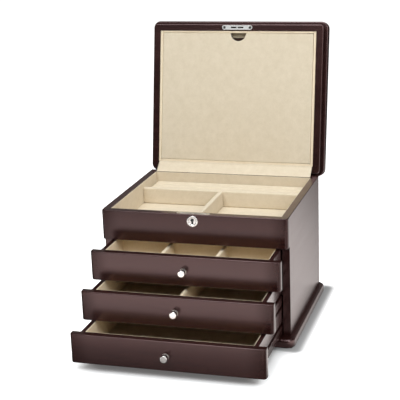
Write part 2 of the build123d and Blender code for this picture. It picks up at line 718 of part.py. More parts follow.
def lid_panel():
    board = block(-PANEL_X, PANEL_X, PANEL_FRONT_Y, PANEL_REAR_Y, LINING_FACE_Z, PANEL_BACK_Z)
    rear = [e for e in edges_on(board, "y", PANEL_REAR_Y) if e.length > PANEL_X]
    board = fillet(rear, MOST_ROUND * LID_PANEL_T)
    board -= rod(NOTCH_X, PANEL_FRONT_Y, LINING_FACE_Z - PAST, NOTCH_R, LID_PANEL_T + 2 * PAST, "z")
    for side in (-1, 1):
        start = side * (PANEL_X - PIVOT_LEN + PIVOT_IN_LINING) - (0 if side > 0 else PIVOT_LEN)
        board -= rod(start, PIVOT_Y, PIVOT_Z, PIVOT_R + PIVOT_PLAY, PIVOT_LEN, "x")
        disc_z = PANEL_BACK_Z - CATCH_DISC_T
        seat_r, seat_len = CATCH_DISC_R + FIT_GAP, CATCH_DISC_T + PAST
        board -= rod(side * catch_x(), catch_y(), disc_z, seat_r, seat_len, "z")
    return board


def panel_catch_discs():
    z = PANEL_BACK_Z - CATCH_DISC_T
    return [
        rod(x, catch_y(), z, CATCH_DISC_R, CATCH_DISC_T - FIT_GAP, "z") for x in (-catch_x(), catch_x())
    ]


def lid_panel_pivots():
    end = PANEL_X + LID_PANEL_GAP + PIVOT_IN_LINING
    length = PIVOT_LEN - PIVOT_TIP_GAP
    right = rod(end - length, PIVOT_Y, PIVOT_Z, PIVOT_R, length, "x")
    return [right, mirror(right, Plane.YZ)]


def lid_panel_stops():
    x1 = PANEL_X + LID_PANEL_GAP
    y0 = PANEL_FRONT_Y - LID_PANEL_GAP
    z0 = PANEL_BACK_Z + FIT_GAP
    right = block(x1 - STOP_BLOCK_W, x1, y0, y0 + STOP_BLOCK_L, z0, RECESS_BACK_Z)
    right -= rod(catch_x(), catch_y(), z0 - PAST, MAGNET_R + FIT_GAP, MAGNET_T + PAST, "z")
    return [right, mirror(right, Plane.YZ)]


def lid_catch_magnets():
    z = PANEL_BACK_Z + FIT_GAP
    return [rod(x, catch_y(), z, MAGNET_R, MAGNET_T, "z") for x in (-catch_x(), catch_x())]


def rail_y():
    """Front side of the necklace rail, just behind the finger notch."""
    return NOTCH_BACK_Y + RAIL_BELOW_NOTCH


def necklace_rail():
    half = RAIL_L / 2
    face_z = RECESS_BACK_Z - RAIL_T
    bar = block(-half, half, rail_y(), rail_y() + RAIL_W, face_z, RECESS_BACK_Z)
    for x in hook_places():
        bar -= rod(x, rail_y() + RAIL_W / 2, face_z - PAST, HOOK_WIRE_R, HOOK_ROOT + PAST, "z")
    return bar


def hook_places():
    step = RAIL_L / HOOK_COUNT
    return [(i - (HOOK_COUNT - 1) / 2) * step for i in range(HOOK_COUNT)]


def necklace_hooks():
    hooks = []
    y = rail_y() + RAIL_W / 2
    z = RECESS_BACK_Z - RAIL_T
    for x in hook_places():
        stem = rod(x, y, z - HOOK_REACH, HOOK_WIRE_R, HOOK_REACH + HOOK_ROOT, "z")
        tip = rod(x, y - HOOK_TIP, z - HOOK_REACH, HOOK_WIRE_R, HOOK_TIP, "y")
        bend = Pos(x, y, z - HOOK_REACH) * Sphere(HOOK_WIRE_R)
        hooks.append(stem + tip + bend)
    return hooks


def knob(z, y):
    """Turned knob with a dished head, its stud driven into the drawer front."""
    base = rod(0, y - KNOB_BASE_LEN, z, KNOB_BASE_R, KNOB_BASE_LEN, "y")
    neck_y = y - KNOB_BASE_LEN - KNOB_NECK_LEN
    neck = rod(0, neck_y, z, KNOB_NECK_R, KNOB_NECK_LEN, "y")
    face_y = neck_y - KNOB_HEAD_LEN
    head = rod(0, face_y, z, KNOB_HEAD_R, KNOB_HEAD_LEN, "y")
    head = fillet(edges_on(head, "y", face_y) + edges_on(head, "y", neck_y), KNOB_EDGE_R)
    head -= rod(0, face_y - PAST, z, KNOB_DISH_R, KNOB_DISH_DEPTH + PAST, "y")
    return base + neck + head + rod(0, y, z, STUD_R, STUD_LEN, "y")


def drawer_front(z0, z_mid):
    board = front_board(z0, z0 + FRONT_H)
    depth = STUD_LEN + STUD_TIP_GAP + PAST
    return board - rod(0, FRONT_Y - PAST, z_mid, STUD_R + STUD_PLAY, depth, "y")


def drawer_sides(name, z0, z1):
    low, high = groove_z(name)
    right = block(BOX_INNER_X, BOX_X, BOX_FRONT_Y, BOX_BACK_Y, z0, z1)
    right -= block(BOX_X - GROOVE_DEPTH, BOX_X + PAST, BOX_FRONT_Y, BOX_BACK_Y + PAST, low, high)
    return [right, mirror(right, Plane.YZ)]


def drawer_lining(z0, z1):
    """Fabric-covered tray: floor and four walls."""
    outer = block(-BOX_INNER_X, BOX_INNER_X, BOX_FRONT_Y, BOX_INNER_BACK_Y, z0, z1)
    x_in = BOX_INNER_X - BOX_LINING_T
    y0, y1 = BOX_FRONT_Y + BOX_LINING_T, BOX_INNER_BACK_Y - BOX_LINING_T
    return outer - block(-x_in, x_in, y0, y1, z0 + BOX_LINING_T, z1 + PAST)


def drawer_dividers(name, z0, z1):
    x_in = BOX_INNER_X - BOX_LINING_T
    y0, y1 = BOX_FRONT_Y + BOX_LINING_T, BOX_INNER_BACK_Y - BOX_LINING_T
    half = BOX_DIVIDER_T / 2
    if name == "middle":
        return [block(-half, half, y0, y1, z0, z1)]
    cross_y = y0 + FRONT_ROW_DEPTH
    cross = block(-x_in, x_in, cross_y, cross_y + BOX_DIVIDER_T, z0, z1)
    cell = (2 * x_in - 2 * BOX_DIVIDER_T) / 3
    mid = cell / 2 + half
    right = block(mid - half, mid + half, y0, cross_y, z0, z1)
    return [right, mirror(right, Plane.YZ), cross]


def make_drawer(name):
    z_front = FRONT_Z[name]
    z_mid = z_front + FRONT_H / 2
    foot, top = z_front + BOX_FOOT_RISE, z_front + FRONT_H - BOX_TOP_DROP
    floor = foot + BOX_BOTTOM_T
    pieces = {
        "front": [drawer_front(z_front, z_mid)],
        "sides": drawer_sides(name, foot, top),
        "back": [block(-BOX_INNER_X, BOX_INNER_X, BOX_INNER_BACK_Y, BOX_BACK_Y, foot, top)],
        "bottom": [block(-BOX_INNER_X, BOX_INNER_X, BOX_FRONT_Y, BOX_INNER_BACK_Y, foot, floor)],
        "lining": [drawer_lining(floor, top - BOX_LINING_DROP)],
        "knob": [knob(z_mid, FRONT_Y)],
    }
    if name != "bottom":
        divider_top = z_front + FRONT_H - BOX_DIVIDER_DROP
        pieces["dividers"] = drawer_dividers(name, floor + BOX_LINING_T, divider_top)
    for part, solids in pieces.items():
        moved = [Pos(0, -DRAWER_OUT[name], 0) * solid for solid in solids]
        save(f"drawer_{name}_{part}", *moved)


def make_carcase():
    save("base_plinth", *base_plinth())
    save("base_felt", base_felt())
    save("bottom_board", bottom_board())
    save("side_panel_left", side_panel(-1))
    save("side_panel_right", side_panel(1))
    save("back_panel", back_panel())
    save("front_panel", front_panel())
    save("well_floor_board", well_floor_board())
    save("drawer_runners", *drawer_runners())


def make_well():
    save("well_lining_walls", *well_lining_walls())
    save("well_lining_floor", well_lining_floor())
    save("well_divider_long", well_divider_long())
    save("well_divider_mid", well_divider_mid())
    save("ring_rolls", *ring_rolls())


def make_lock():
    save("lock_top_plate", lock_top_plate())
    save("lock_plate_screws", *lock_plate_screws())
    save("lock_case", lock_case())
    save("lock_post", lock_post())
    save("lock_claw", lock_claw())
    save("lock_escutcheon", lock_escutcheon())


def make_hinges():
    save("hinge_body_leaves", *[hinge_leaf(x, False, False) for x in (-HINGE_X, HINGE_X)])
    save("hinge_pins", *hinge_pins())
    save("hinge_body_screws", *hinge_screws(-1))
    save("hinge_lid_leaves", *[opened(hinge_leaf(x, True, True)) for x in (-HINGE_X, HINGE_X)])
    save("hinge_lid_screws", *[opened(s) for s in hinge_screws(1)])
    save("hinge_flap", hinge_flap())


def make_lid():
    groups = {
        "lid_frame": lid_frame(),
        "lid_top": [lid_top()],
        "lid_lining": [lid_lining()],
        "lid_recess_lining": [lid_recess_lining()],
        "lid_strike_plate": [lid_strike_plate()],
        "lid_strike_screws": lid_strike_screws(),
        "lid_panel_pivots": lid_panel_pivots(),
        "lid_panel_stops": lid_panel_stops(),
        "lid_catch_magnets": lid_catch_magnets(),
        "necklace_rail": [necklace_rail()],
        "necklace_hooks": necklace_hooks(),
        "lid_panel": [lid_panel()],
        "panel_catch_discs": panel_catch_discs(),
    }
    for name, solids in groups.items():
        save(name, *[opened(solid) for solid in solids])


def main():
    os.makedirs("parts", exist_ok=True)
    make_carcase()
    make_well()
    make_lock()
    make_hinges()
    make_lid()
    for name in DRAWER_NAMES:
        make_drawer(name)


main()
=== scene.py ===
"""Looks of the locking jewellery chest: lacquered wood, nickel fittings and cream suede
cloth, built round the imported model. Metres; X right, Y back, Z up."""

import json
import math

import bmesh
import bpy
from mathutils import Matrix, Vector, noise


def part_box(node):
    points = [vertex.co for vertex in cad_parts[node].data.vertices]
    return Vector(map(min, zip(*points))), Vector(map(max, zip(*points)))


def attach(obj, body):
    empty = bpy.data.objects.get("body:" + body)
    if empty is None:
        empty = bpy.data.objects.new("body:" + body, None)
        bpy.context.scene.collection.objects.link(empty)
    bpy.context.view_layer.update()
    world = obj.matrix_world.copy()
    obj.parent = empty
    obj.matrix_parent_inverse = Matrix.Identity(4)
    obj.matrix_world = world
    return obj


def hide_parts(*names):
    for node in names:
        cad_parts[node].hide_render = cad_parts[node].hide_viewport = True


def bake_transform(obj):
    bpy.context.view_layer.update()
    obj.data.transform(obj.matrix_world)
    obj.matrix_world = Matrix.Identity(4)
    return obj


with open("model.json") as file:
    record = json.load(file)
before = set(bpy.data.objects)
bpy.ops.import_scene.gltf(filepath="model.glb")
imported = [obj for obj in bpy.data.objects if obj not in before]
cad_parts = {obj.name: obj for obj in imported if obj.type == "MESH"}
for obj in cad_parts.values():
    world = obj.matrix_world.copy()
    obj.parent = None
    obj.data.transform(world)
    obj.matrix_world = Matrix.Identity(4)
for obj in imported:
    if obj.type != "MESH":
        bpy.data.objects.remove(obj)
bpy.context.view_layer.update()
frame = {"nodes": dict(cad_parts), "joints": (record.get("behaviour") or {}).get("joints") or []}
nodes = frame["nodes"]

# The photograph's camera: place, angles in degrees, and lens on a 36 mm sensor
CAMERA_AT = (0.554094, -1.919109, 0.795975)
CAMERA_AZIMUTH = 16.850
CAMERA_ELEVATION = 16.253
CAMERA_ROLL = -2.111
CAMERA_LENS = 103.62
CAMERA_SENSOR = 36.0

# Grid lines over a rounded edge, in degrees from its middle line
EDGE_TURNS = (45, 30, 15)

# Cloth-covered boards that line the trays: thickness, edge, swell and ripple of the cloth, mesh step
LINER_T = 0.0015
LINER_EDGE_R = 0.0006
LINER_CROWN = 0.0001
LINER_RIPPLE = 0.00008
RIPPLE_PITCH = 0.03
LINER_STEP = 0.006

# How far the lining of a drawer's front ends below the front's top edge
FRONT_CLOTH_DROP = 0.0002

# Padded dividers and ring rolls
PAD_CROWN = 0.0004
PAD_RIPPLE = 0.00018
PAD_RIPPLE_PITCH = 0.022
PAD_STEP = 0.004
LONG_DIVIDER_R = 0.0026
MIDDLE_DIVIDER_R = 0.0022
DRAWER_DIVIDER_R = 0.0018
DRAWER_DIVIDER_T = 0.006
TOP_DRAWER_PARTS = 3
ROLL_COUNT = 4
ROLL_GAP = 0.0005
ROLL_R = 0.0068
ROLL_CROWN = 0.0003
ROLL_STEP = 0.003

# Inside of the lid: the ring round the panel, and what shows behind the panel's notch
LID_RING_W = 0.005
LID_RING_FRONT_W = 0.004
LID_RING_EDGE_R = 0.001
LID_RING_STEP = 0.004
RECESS_STRIP_W = 0.008
RECESS_STRIP_EDGE_R = 0.0004
RECESS_BOARD_DROP = 0.0003
RECESS_BOARD_EDGE_R = 0.0003
RECESS_BOARD_STEP = 0.012

# The lid's drop-down panel: its cloth stands a little past the board, and the notch cuts both
PANEL_CLOTH = 0.00025
PANEL_EDGE_R = 0.001
PANEL_CROWN = 0.0003
PANEL_RIPPLE = 0.00012
PANEL_RIPPLE_PITCH = 0.05
PANEL_STEP = 0.004
NOTCH_R = 0.0146
NOTCH_X = 0.0026
NOTCH_SIDES = 64
NOTCH_CUT_DEPTH = 0.03
NOTCH_WALL_REACH = 0.0002
NOTCH_WALL_TILT = 0.5

# Cloth strip over the hinge line
FLAP_T = 0.0005
FLAP_ROWS = 24
FLAP_COLUMNS = 120
FLAP_START_DROP = 0.0003
FLAP_END_INSET = (0.0006, 0.0004)
FLAP_RIPPLE = 0.0004
FLAP_RIPPLE_RATE = (26, 2.0, 4.2)
FOLD_LEVEL_ANGLE = 0.02
FOLD_LEVEL_SHARE = 0.92

# Felt under the foot
FELT_EDGE_R = 0.0004
FELT_STEP = 0.012
FELT_RIPPLE = 0.00003

# Where each group of cloth pieces starts in the ripples
SEEDS = {
    "well": 0, "well_floor": 11, "long_divider": 21, "middle_divider": 22, "rolls": 31, "drawers": 41,
    "drawer_middle_divider": 75, "drawer_top_cross": 76, "drawer_top_sides": 77, "lid_ring": 81,
    "recess_strip": 88, "panel": 91, "felt": 99,
}
DRAWER_SEED_STEP = 10
SEED_SHIFT = (7.3, 3.1, 5.7)

# Floor: its tones for light and for reflections, and the distances from the foot and from the
# pulled-out drawers over which the floor that the camera sees turns white; nearer in, the floor keeps
# a painted shadow, and near the foot its matt tone is darkened as painted shade
FLOOR_SIZE = 20.0
FLOOR_DROP = 0.0002
FLOOR_TONE = 0.8
FLOOR_MIRROR_TONE = 0.12
PAINTED_FOOT_SHADE_REACH = (0.0, 0.04)
PAINTED_FOOT_SHADE_START = 0.42
FOOT_SHADOW = (0.007, 0.028)
DRAWER_SHADOW = (0.020, 0.100)
DRAWER_SHADOW_INSET = 0.05
DRAWER_SHADOW_GLOW = 0.12

# Room: its plain light, and the painted reflection of its front, back, height and right side, which only
# reflections see and which lights nothing
ROOM_LIGHT = 0.10
ROOM_FRONT = 0.03
ROOM_BACK = 0.21
ROOM_TURN = (-0.6, 0.6)
ROOM_HIGH_SHARE = 0.15
ROOM_LOW_UP = 0.30
ROOM_HIGH_UP = 0.60
ROOM_RIGHT = (0.72, 0.92)
ROOM_RIGHT_PAINTED_GLOW = 1.7
ROOM_TINT = (1.0, 0.94, 0.91, 1.0)
AMBIENT_TINT = (1.0, 0.90, 0.76, 1.0)
WHITE = (1.0, 1.0, 1.0, 1.0)

# Soft lamps: name, place, aim, size and power
LAMP_TINT = (0.95, 0.98, 1.0)
LAMPS = (
    ("top_softbox", (0.3, -0.2, 1.9), (0.0, -0.05, 0.2), (1.6, 1.4), 24.5),
    ("right_softbox", (1.6, -1.2, 1.5), (0.0, 0.0, 0.2), (0.9, 0.9), 16.0),
    ("front_softbox", (-0.6, -1.85, 2.05), (0.0, 0.0, 0.25), (1.4, 1.0), 30.0),
)

# Painted reflection: for reflections only, the floor glows in bands, and painted shade darkens it behind the
# side panel, under the drawers and at the foot
# How bright reflections see the floor: levels by the distance in front of the bottom drawer, and
# how they fade behind the side panel, under the drawers and at the foot
MIRROR_PEAK = 1.65
MIRROR_SHADE = 0.1
MIRROR_SLANT = 0.3026
MIRROR_BEHIND = (-0.12, 0.06)
MIRROR_UNDER_FADE = 0.03
MIRROR_FOOT_SHADOW = (0.0, 0.025)
MIRROR_PAINTED_FOOT_SHADE = 0.25
MIRROR_FRONT_FADE = 0.01
MIRROR_START = -1.6
MIRROR_END = 0.82
MIRROR_LEVELS = (
    (-1.55, 0.03), (-1.3, 0.62), (-0.75, 0.74), (-0.4, 0.70), (-0.25, 0.86),
    (-0.07, 1.0), (0.015, 0.0), (0.10, 0.17), (0.20, 0.96), (0.33, 1.08),
    (0.44, 0.80), (0.50, 0.62), (0.545, 0.18), (0.60, 0.0), (0.78, 0.0),
)

# Small rounding of the wooden edges
WOOD_EDGE = 0.0004
WELD_REACH = 0.00001
SHARP_DEG = 50

HINGE = next(j for j in frame["joints"] if j["name"] == "lid_hinge")
HINGE_AT = Vector(HINGE["pos_m"])
LID_ANGLE = math.radians(abs(HINGE["range_deg"][0]))
LID_OPEN = (
    Matrix.Translation(HINGE_AT)
    @ Matrix.Rotation(-LID_ANGLE, 4, "X")
    @ Matrix.Translation(-HINGE_AT)
)


def closed_box(node):
    """Corners of a lid node with the lid shut, where its sides run along the axes."""
    shut = LID_OPEN.inverted()
    points = [shut @ v.co for v in nodes[node].data.vertices]
    low = Vector([min(p[k] for p in points) for k in range(3)])
    high = Vector([max(p[k] for p in points) for k in range(3)])
    return low, high


# Materials: noise sizes are cells a metre, and colours are linear

GRAIN_SCALE = {"x": (0.06, 1.0, 1.0), "y": (1.0, 0.06, 1.0)}
FIGURE_SIZE = 55.0
PORE_SIZE = 900.0
CLOUD_SIZE = 9.0
BRUSHED_SIZE = 70.0
FIBRE_SIZE = 1500.0
DIMPLE_SIZE = 260.0
MARK_SIZE = 2600.0
SMEAR_SIZE = 120.0
WOOL_SIZE = 700.0
ESPRESSO_DARK = (0.0165, 0.0052, 0.0044)
ESPRESSO_LIGHT = (0.0350, 0.0110, 0.0090)
INNER_DARK = (0.0130, 0.0052, 0.0042)
INNER_LIGHT = (0.0280, 0.0110, 0.0085)
LACQUER_TINT = (1.0, 0.68, 0.68, 1.0)
# How far the fronts' reflection falls at their two ends, and over what width
END_SHADE = 0.4
END_SHADE_W = 0.036
FRONT_HALF_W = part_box("front_panel")[1].x
CREAM_PALE = (0.745, 0.650, 0.505)
CREAM_DEEP = (0.665, 0.570, 0.425)
# Lighter copy of the cream cloth for the drawers and the lid: painted light that brightens their shaded
# insides
PAINTED_LIGHT_CREAM_PALE = (0.86, 0.735, 0.550)
PAINTED_LIGHT_CREAM_DEEP = (0.79, 0.655, 0.465)
FELT_PALE = (0.05, 0.035, 0.03)
FELT_DEEP = (0.02, 0.014, 0.012)
CARD_PALE = (0.050, 0.020, 0.012)
CARD_DEEP = (0.030, 0.012, 0.007)
NICKEL = (0.93, 0.92, 0.90)
SATIN_NICKEL = (0.80, 0.79, 0.77)
STEEL = (0.5, 0.5, 0.51)
DARK_STEEL = (0.07, 0.07, 0.07)
BRASS = (0.72, 0.55, 0.3)


def link_chain(tree, *steps):
    """Makes the links of a node tree, each given as node, output, next node and its input."""
    for source, output, target, socket in steps:
        tree.links.new(source.outputs[output], target.inputs[socket])


def add_node(tree, kind, inputs=None, **settings):
    """A shader node with its settings, and values on its sockets."""
    node = tree.nodes.new(kind)
    for key, value in settings.items():
        setattr(node, key, value)
    for socket, value in (inputs or {}).items():
        node.inputs[socket].default_value = value
    return node


def new_material(name, inputs):
    """A material with values on its Principled shader; returns it, its node tree and the shader."""
    material = bpy.data.materials.new(name)
    material.use_nodes = True
    tree = material.node_tree
    shader = tree.nodes["Principled BSDF"]
    for socket, value in inputs.items():
        shader.inputs[socket].default_value = value
    return material, tree, shader


def multiplied(tree, first=None):
    """A node that multiplies two colours, the first of them given or linked."""
    inputs = {"Factor": 1.0}
    if first is not None:
        inputs["A"] = first
    return add_node(tree, "ShaderNodeMix", inputs, data_type="RGBA", blend_type="MULTIPLY")


def eased(tree, inputs):
    """A smooth step between two values."""
    return add_node(tree, "ShaderNodeMapRange", inputs, interpolation_type="SMOOTHSTEP")


def colour_ramp(tree, stops):
    """A ramp with a colour at each stop's place."""
    ramp = tree.nodes.new("ShaderNodeValToRGB")
    elements = ramp.color_ramp.elements
    while len(elements) < len(stops):
        elements.new(0.5)
    for element, (place, colour) in zip(elements, stops):
        element.position = place
        element.color = (*colour, 1.0)
    return ramp


def stretched_noise(tree, coords, scale, size, detail, turn=(0.0, 0.0, 0.0)):
    """Noise in object space, drawn out along the axis with the smallest scale."""
    mapping = add_node(tree, "ShaderNodeMapping", {"Scale": scale, "Rotation": turn})
    texture = add_node(tree, "ShaderNodeTexNoise", {"Scale": size, "Detail": detail, "Roughness": 0.6})
    link_chain(tree, (coords, "Object", mapping, "Vector"), (mapping, "Vector", texture, "Vector"))
    return texture


def shaded_ends(tree, coords, half_width):
    """1 over a board's middle, falling to END_SHADE at its two ends along X, where it darkens the lacquer's
    reflection.
    """
    parts = tree.nodes.new("ShaderNodeSeparateXYZ")
    side = add_node(tree, "ShaderNodeMath", operation="ABSOLUTE")
    start = half_width - END_SHADE_W
    shade = eased(tree, {"From Min": start, "From Max": half_width, "To Min": 1.0, "To Max": END_SHADE})
    link_chain(
        tree, (coords, "Object", parts, "Vector"), (parts, "X", side, 0), (side, "Value", shade, "Value")
    )
    return shade


def wood(name, dark, light, grain="x", tilt=0.0, gloss=0.24, coat=0.12, half_width=None):
    """Stained and lacquered wood, its grain along one axis, tilted about X for the lid."""
    material, tree, shader = new_material(
        name,
        {
            "Coat Weight": coat,
            "Coat Roughness": 0.12,
            "Specular IOR Level": 1.0,
            "Specular Tint": LACQUER_TINT,
        },
    )
    coords = tree.nodes.new("ShaderNodeTexCoord")
    turn = (tilt, 0.0, 0.0)
    figure = stretched_noise(tree, coords, GRAIN_SCALE[grain], FIGURE_SIZE, 5.0, turn)
    pores = stretched_noise(tree, coords, GRAIN_SCALE[grain], PORE_SIZE, 2.0, turn)
    cloudy = add_node(tree, "ShaderNodeTexNoise", {"Scale": CLOUD_SIZE, "Detail": 2.0})
    ramp = colour_ramp(tree, ((0.25, dark), (0.75, light)))
    pore_ramp = colour_ramp(tree, ((0.36, (0.55, 0.5, 0.5)), (0.5, (1.0, 1.0, 1.0))))
    cloud_ramp = colour_ramp(tree, ((0.3, (0.86, 0.84, 0.84)), (0.7, (1.08, 1.06, 1.06))))
    pored = multiplied(tree)
    tinted = multiplied(tree)
    rough = add_node(tree, "ShaderNodeMapRange", {"To Min": gloss - 0.04, "To Max": gloss + 0.06})
    bump = add_node(tree, "ShaderNodeBump", {"Strength": 0.12, "Distance": 0.0001})
    link_chain(
        tree,
        (coords, "Object", cloudy, "Vector"),
        (figure, "Fac", ramp, "Fac"),
        (pores, "Fac", pore_ramp, "Fac"),
        (cloudy, "Fac", cloud_ramp, "Fac"),
        (ramp, "Color", pored, "A"),
        (pore_ramp, "Color", pored, "B"),
        (pored, "Result", tinted, "A"),
        (cloud_ramp, "Color", tinted, "B"),
        (tinted, "Result", shader, "Base Color"),
        (figure, "Fac", rough, "Value"),
        (rough, "Result", shader, "Roughness"),
        (pores, "Fac", bump, "Height"),
        (bump, "Normal", shader, "Normal"),
    )
    # The fronts' lacquer reflects less towards their two ends along X
    if half_width is not None:
        shade = shaded_ends(tree, coords, half_width)
        end_darkened_tint = multiplied(tree, LACQUER_TINT)
        link_chain(tree, (shade, "Result", end_darkened_tint, "B"), (end_darkened_tint, "Result", shader, "Specular Tint"))
    return material


def suede(name, pale, deep, sheen=0.12):
    """Short-napped cream cloth: brushed patches, a fine weave under them and a soft sheen."""
    material, tree, shader = new_material(
        name,
        {
            "Roughness": 0.95,
            "Sheen Weight": sheen,
            "Sheen Roughness": 0.45,
            "Specular IOR Level": 0.2,
        },
    )
    coords = tree.nodes.new("ShaderNodeTexCoord")
    brushed = add_node(tree, "ShaderNodeTexNoise", {"Scale": BRUSHED_SIZE, "Detail": 7.0, "Roughness": 0.78})
    fibre = add_node(tree, "ShaderNodeTexNoise", {"Scale": FIBRE_SIZE, "Detail": 3.0, "Roughness": 0.7})
    dimple = add_node(tree, "ShaderNodeTexNoise", {"Scale": DIMPLE_SIZE, "Detail": 3.0, "Roughness": 0.6})
    ramp = colour_ramp(tree, ((0.28, deep), (0.66, pale)))
    fleck = colour_ramp(tree, ((0.3, (0.9, 0.89, 0.87)), (0.6, (1.0, 1.0, 1.0))))
    mixed = multiplied(tree)
    fine = add_node(tree, "ShaderNodeBump", {"Strength": 0.35, "Distance": 0.00015})
    coarse = add_node(tree, "ShaderNodeBump", {"Strength": 0.25, "Distance": 0.0004})
    link_chain(
        tree,
        (coords, "Object", brushed, "Vector"),
        (coords, "Object", fibre, "Vector"),
        (coords, "Object", dimple, "Vector"),
        (brushed, "Fac", ramp, "Fac"),
        (fibre, "Fac", fleck, "Fac"),
        (ramp, "Color", mixed, "A"),
        (fleck, "Color", mixed, "B"),
        (mixed, "Result", shader, "Base Color"),
        (dimple, "Fac", coarse, "Height"),
        (coarse, "Normal", fine, "Normal"),
        (fibre, "Fac", fine, "Height"),
        (fine, "Normal", shader, "Normal"),
    )
    return material


def metal(name, colour, roughness):
    """Metal with fine brush marks along X."""
    material, tree, shader = new_material(name, {"Metallic": 1.0})
    coords = tree.nodes.new("ShaderNodeTexCoord")
    marks = stretched_noise(tree, coords, GRAIN_SCALE["x"], MARK_SIZE, 2.0)
    smear = add_node(tree, "ShaderNodeTexNoise", {"Scale": SMEAR_SIZE, "Detail": 2.0})
    tone = colour_ramp(tree, ((0.3, tuple(c * 0.9 for c in colour)), (0.7, colour)))
    rough = add_node(tree, "ShaderNodeMapRange", {"To Min": roughness * 0.8, "To Max": roughness * 1.3})
    bump = add_node(tree, "ShaderNodeBump", {"Strength": 0.08, "Distance": 0.00005})
    link_chain(
        tree,
        (coords, "Object", smear, "Vector"),
        (smear, "Fac", tone, "Fac"),
        (tone, "Color", shader, "Base Color"),
        (marks, "Fac", rough, "Value"),
        (rough, "Result", shader, "Roughness"),
        (marks, "Fac", bump, "Height"),
        (bump, "Normal", shader, "Normal"),
    )
    return material


def felt(name, pale, deep):
    """Matt fibres: the wool felt, and the dark brown board in the lid."""
    material, tree, shader = new_material(name, {"Roughness": 1.0, "Sheen Weight": 0.4})
    coords = tree.nodes.new("ShaderNodeTexCoord")
    wool = add_node(tree, "ShaderNodeTexNoise", {"Scale": WOOL_SIZE, "Detail": 5.0, "Roughness": 0.8})
    ramp = colour_ramp(tree, ((0.35, deep), (0.65, pale)))
    bump = add_node(tree, "ShaderNodeBump", {"Strength": 0.6, "Distance": 0.0003})
    link_chain(
        tree,
        (coords, "Object", wool, "Vector"),
        (wool, "Fac", ramp, "Fac"),
        (ramp, "Color", shader, "Base Color"),
        (wool, "Fac", bump, "Height"),
        (bump, "Normal", shader, "Normal"),
    )
    return material


looks = {
    "wood_x": wood("lacquered_wood_along_x", ESPRESSO_DARK, ESPRESSO_LIGHT, "x"),
    "wood_front": wood("lacquered_wood_of_fronts", ESPRESSO_DARK, ESPRESSO_LIGHT, half_width=FRONT_HALF_W),
    "wood_y": wood("lacquered_wood_along_y", ESPRESSO_DARK, ESPRESSO_LIGHT, "y"),
    "wood_box": wood("lacquered_wood_of_boxes", ESPRESSO_DARK, ESPRESSO_LIGHT, "y", coat=0.6),
    "wood_lid": wood("lacquered_wood_of_lid", ESPRESSO_DARK, ESPRESSO_LIGHT, "x", LID_ANGLE),
    "inner": wood("stained_inner_wood", INNER_DARK, INNER_LIGHT, "y", 0.0, 0.42, 0.15),
    "lining": suede("cream_suede_cloth", CREAM_PALE, CREAM_DEEP),
    "painted_light_lining": suede("painted_light_cream_suede", PAINTED_LIGHT_CREAM_PALE, PAINTED_LIGHT_CREAM_DEEP),
    "felt": felt("dark_felt", FELT_PALE, FELT_DEEP),
    "card": felt("dark_brown_panel_board", CARD_PALE, CARD_DEEP),
    "nickel": metal("polished_nickel", NICKEL, 0.16),
    "satin": metal("satin_nickel", SATIN_NICKEL, 0.42),
    "steel": metal("plain_steel", STEEL, 0.34),
    "dark_steel": metal("blackened_steel", DARK_STEEL, 0.5),
    "brass": metal("satin_brass", BRASS, 0.28),
}


# Mesh helpers


def axis_stops(low, high, radius, step):
    """Grid lines along one axis: close together over the rounded ends, even between."""
    turns = [math.tan(math.radians(a)) for a in EDGE_TURNS]
    start, end = low + radius, high - radius
    count = max(1, round((end - start) / step))
    middle = [start + (end - start) * i / count for i in range(count + 1)]
    return [start - radius * t for t in turns] + middle + [end + radius * t for t in reversed(turns)]


def rounded_block(low, high, radius, step):
    """A block with round edges and corners, as a grid fine enough to bend."""
    stops = [axis_stops(low[k], high[k], radius, step) for k in range(3)]
    mesh = bmesh.new()
    found = {}

    def vertex(place):
        if place not in found:
            q = Vector([stops[k][place[k]] for k in range(3)])
            core = Vector([min(max(q[k], low[k] + radius), high[k] - radius) for k in range(3)])
            found[place] = mesh.verts.new(core + (q - core).normalized() * radius)
        return found[place]

    for axis, u, v in ((0, 1, 2), (1, 2, 0), (2, 0, 1)):
        for end in (0, len(stops[axis]) - 1):
            for i in range(len(stops[u]) - 1):
                for j in range(len(stops[v]) - 1):
                    corners = []
                    for di, dj in ((0, 0), (1, 0), (1, 1), (0, 1)):
                        place = [0, 0, 0]
                        place[axis], place[u], place[v] = end, i + di, j + dj
                        corners.append(vertex(tuple(place)))
                    mesh.faces.new(corners if end else corners[::-1])
    mesh.normal_update()
    return mesh


def puff(mesh, crown, wrinkle, seed, pitch=RIPPLE_PITCH):
    """Swells each side between its edges and lets the cloth ripple a little."""
    points = [v.co.copy() for v in mesh.verts]
    low = Vector([min(p[k] for p in points) for k in range(3)])
    high = Vector([max(p[k] for p in points) for k in range(3)])
    centre, half = (low + high) / 2, (high - low) / 2
    shift = Vector([seed * part for part in SEED_SHIFT])
    moves = []
    for v in mesh.verts:
        swell = crown
        for k in range(3):
            share = (v.co[k] - centre[k]) / half[k]
            swell *= 1 - share * share * (1 - abs(v.normal[k]))
        ripple = wrinkle * noise.noise(v.co / pitch + shift)
        moves.append(v.normal * (swell + ripple))
    for v, move in zip(mesh.verts, moves):
        v.co += move
    return mesh


def finish_mesh(name, mesh, material, transform=None):
    """Turns a bmesh into a smooth object."""
    if transform is not None:
        mesh.transform(transform)
    for face in mesh.faces:
        face.smooth = True
    data = bpy.data.meshes.new(name)
    mesh.to_mesh(data)
    mesh.free()
    data.materials.append(material)
    piece = bpy.data.objects.new(name, data)
    bpy.context.scene.collection.objects.link(piece)
    return piece


